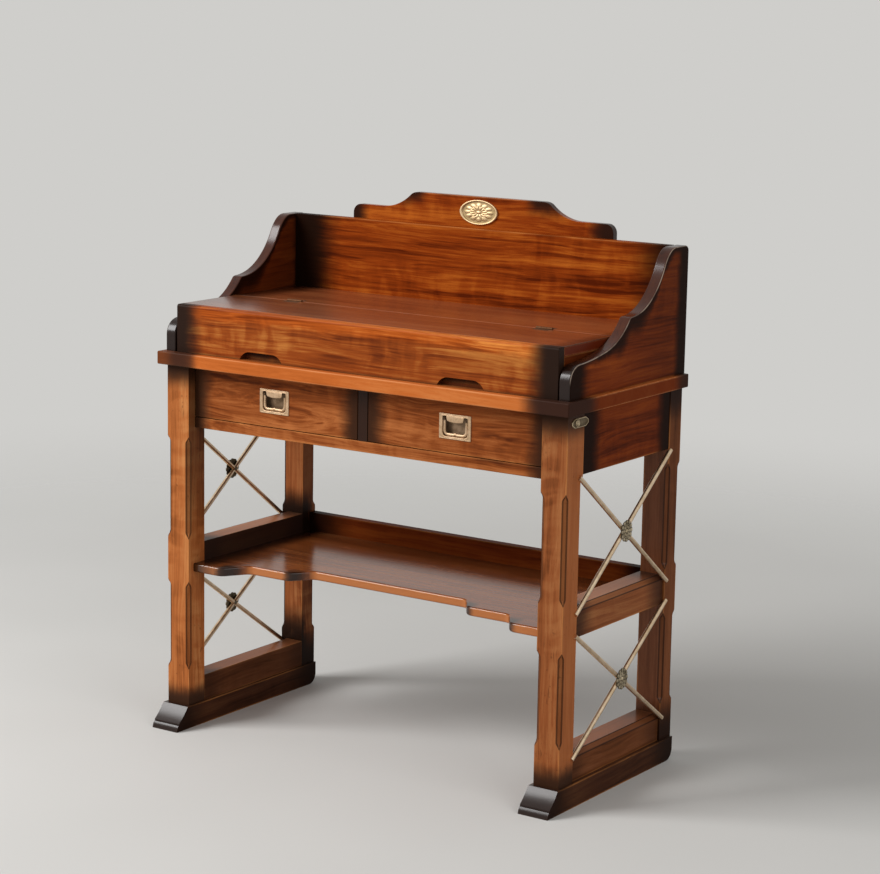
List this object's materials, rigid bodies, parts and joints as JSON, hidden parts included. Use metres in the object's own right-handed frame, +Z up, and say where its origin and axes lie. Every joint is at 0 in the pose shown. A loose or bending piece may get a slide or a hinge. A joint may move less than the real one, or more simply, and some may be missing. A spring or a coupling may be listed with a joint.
{
  "type": "campaign desk",
  "caption": "Wooden campaign desk on sledge-footed end frames with brass cross braces, drawers with flush pulls, a fold-back lid, an S-curved gallery and a stepped crest.",
  "frame": {"origin": "middle of the bounding box on the floor, under the desk", "axes": "+Z up, +X to the right seen from the front, +Y from the toes to the back"},
  "size_m": [0.958, 0.467, 1.079],
  "materials": {
    "frame_wood": "burnished satin lacquer, dark at joints",
    "panel_wood": "figured satin lacquer",
    "dark_wood": "satin lacquer, dark at edges",
    "drawer_lining": "plain sanded wood",
    "rod_brass": "pale satin brass",
    "ornament_brass": "antique brass",
    "pull_brass": "aged brass with a dark recess"
  },
  "bodies": {
    "frame": {"left_front_leg": "frame_wood", "right_front_leg": "frame_wood", "left_rear_leg": "frame_wood", "right_rear_leg": "frame_wood", "left_foot": "frame_wood", "right_foot": "frame_wood", "left_bottom_rail": "frame_wood", "right_bottom_rail": "frame_wood", "left_shelf_rail": "frame_wood", "right_shelf_rail": "frame_wood", "left_apron": "frame_wood", "right_apron": "frame_wood", "left_upper_fore_brace": "rod_brass", "right_upper_fore_brace": "rod_brass", "left_upper_aft_brace": "rod_brass", "right_upper_aft_brace": "rod_brass", "left_upper_rosette": "ornament_brass", "right_upper_rosette": "ornament_brass", "left_lower_fore_brace": "rod_brass", "right_lower_fore_brace": "rod_brass", "left_lower_aft_brace": "rod_brass", "right_lower_aft_brace": "rod_brass", "left_lower_rosette": "ornament_brass", "right_lower_rosette": "ornament_brass", "left_gallery_side": "dark_wood", "right_gallery_side": "dark_wood", "left_hinge_fixed_leaf": "ornament_brass", "right_hinge_fixed_leaf": "ornament_brass", "shelf": "panel_wood", "shelf_back_rail": "panel_wood", "case_floor": "panel_wood", "case_back": "panel_wood", "centre_partition": "panel_wood", "waist_board": "dark_wood", "gallery_back": "panel_wood", "crest_board": "dark_wood", "crest_medallion": "ornament_brass", "rear_top": "dark_wood", "right_leg_badge": "ornament_brass"},
    "left_drawer": {"left_drawer_front": "panel_wood", "left_drawer_inner_side": "drawer_lining", "left_drawer_outer_side": "drawer_lining", "left_drawer_back": "drawer_lining", "left_drawer_bottom": "drawer_lining", "left_pull_plate": "pull_brass"},
    "right_drawer": {"right_drawer_front": "panel_wood", "right_drawer_inner_side": "drawer_lining", "right_drawer_outer_side": "drawer_lining", "right_drawer_back": "drawer_lining", "right_drawer_bottom": "drawer_lining", "right_pull_plate": "pull_brass"},
    "left_bail": {"left_pull_bail": "pull_brass"},
    "right_bail": {"right_pull_bail": "pull_brass"},
    "lid": {"lid_top": "dark_wood", "lid_front": "panel_wood", "left_lid_cheek": "panel_wood", "right_lid_cheek": "panel_wood", "left_hinge_lid_leaf": "ornament_brass", "right_hinge_lid_leaf": "ornament_brass"}
  },
  "joints": [
    {"name": "left_drawer_slide", "type": "slide", "parent": "frame", "child": "left_drawer", "axis": [0, -1, 0], "range_m": [0, 0.26]},
    {"name": "left_bail_swing", "type": "hinge", "parent": "left_drawer", "child": "left_bail", "pos_m": [-0.212, -0.169, 0.706], "axis": [-1, 0, 0], "range_deg": [0, 90]},
    {"name": "right_drawer_slide", "type": "slide", "parent": "frame", "child": "right_drawer", "axis": [0, -1, 0], "range_m": [0, 0.26]},
    {"name": "right_bail_swing", "type": "hinge", "parent": "right_drawer", "child": "right_bail", "pos_m": [0.212, -0.169, 0.706], "axis": [-1, 0, 0], "range_deg": [0, 90]},
    {"name": "lid_fold", "type": "hinge", "parent": "frame", "child": "lid", "pos_m": [0, 0.0005, 0.866], "axis": [-1, 0, 0], "range_deg": [0, 180]}
  ]
}
